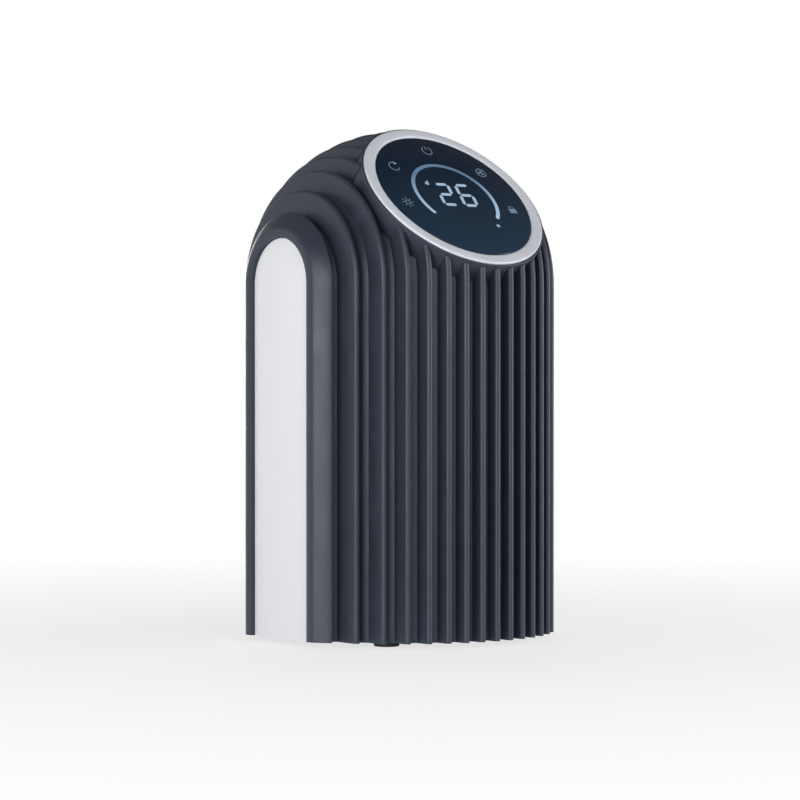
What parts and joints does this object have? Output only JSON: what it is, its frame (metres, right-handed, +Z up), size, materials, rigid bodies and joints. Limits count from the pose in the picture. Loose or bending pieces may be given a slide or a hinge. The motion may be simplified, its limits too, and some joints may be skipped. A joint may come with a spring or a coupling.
{
  "type": "air purifier",
  "caption": "Domed table-top air purifier with arched vertical fins, white side panels, a tilted round touch display and a pull-off filter door at the back.",
  "frame": {"origin": "centre of the footprint, on the surface that the rubber feet stand on", "axes": "+Z up; the display and the closed grooves face -Y; the white side panels face -X and +X; the filter door and the mains inlet face +Y"},
  "size_m": [0.2146, 0.2207, 0.3609],
  "materials": {
    "body_plastic": "satin moulded ABS, dark blue-grey",
    "panel_white": "satin white lacquered plastic",
    "ring_silver": "bright satin anodised aluminium",
    "cover_glass": "glossy dark blue cover glass over a black print",
    "mask_white": "diffusing white plastic",
    "circuit_board": "green solder mask",
    "spring_steel": "bright spring wire",
    "screw_steel": "zinc plated steel",
    "inner_plastic": "unpainted dark ABS",
    "base_plastic": "textured black ABS",
    "foot_rubber": "matt rubber",
    "magnet_nickel": "nickel plated magnet",
    "frame_white": "white moulded plastic",
    "mesh_nylon": "fine grey nylon mesh",
    "carbon_black": "black carbon felt",
    "filter_paper": "white glass-fibre filter paper",
    "tab_fabric": "woven blue tape",
    "seal_foam": "closed-cell foam",
    "wheel_plastic": "glass-filled black nylon",
    "shaft_steel": "ground steel",
    "nut_brass": "plain brass",
    "motor_can": "drawn motor can",
    "component_black": "black encapsulated parts",
    "pin_nickel": "nickel plated brass pins"
  },
  "bodies": {
    "casing": {"front_shell": "body_plastic", "rear_shell": "body_plastic", "seam_strips": "inner_plastic", "seam_screws": "screw_steel", "side_panel_left": "panel_white", "side_panel_right": "panel_white", "control_housing": "body_plastic", "display_ring": "ring_silver", "display_glass": "cover_glass", "light_mask": "mask_white", "display_board": "circuit_board", "touch_springs": "spring_steel", "display_screws": "screw_steel", "base_plate": "base_plastic", "rubber_feet": "foot_rubber", "base_screws": "screw_steel", "filter_bay": "inner_plastic", "bay_screws": "screw_steel", "latch_keepers": "screw_steel", "bay_seal": "seal_foam", "fan_housing": "inner_plastic", "fan_screws": "screw_steel", "inlet_guard": "inner_plastic", "motor_housing": "motor_can", "motor_gasket": "seal_foam", "motor_screws": "screw_steel", "outlet_vanes": "base_plastic", "power_board": "circuit_board", "board_parts": "component_black", "board_screws": "screw_steel", "mains_inlet": "base_plastic", "inlet_pins": "pin_nickel", "dust_sensor": "component_black"},
    "fan_wheel": {"impeller": "wheel_plastic", "motor_shaft": "shaft_steel", "shaft_nut": "nut_brass"},
    "filter_door": {"rear_door": "body_plastic", "door_magnets": "magnet_nickel"},
    "filter_cartridge": {"filter_frame": "frame_white", "prefilter_mesh": "mesh_nylon", "carbon_sheet": "carbon_black", "pleated_paper": "filter_paper", "pull_tab": "tab_fabric"}
  },
  "joints": [
    {"name": "fan_spin", "type": "hinge", "parent": "casing", "child": "fan_wheel", "pos_m": [0, 0, 0.134], "axis": [0, 1, 0], "continuous": true},
    {"name": "door_pull", "type": "slide", "parent": "casing", "child": "filter_door", "axis": [0, 1, 0], "range_m": [0, 0.15]},
    {"name": "filter_pull", "type": "slide", "parent": "casing", "child": "filter_cartridge", "axis": [0, 1, 0], "range_m": [0, 0.12]}
  ],
  "couplings": [
    {"joint": "filter_pull", "follows": "door_pull", "ratio": 0.8}
  ]
}
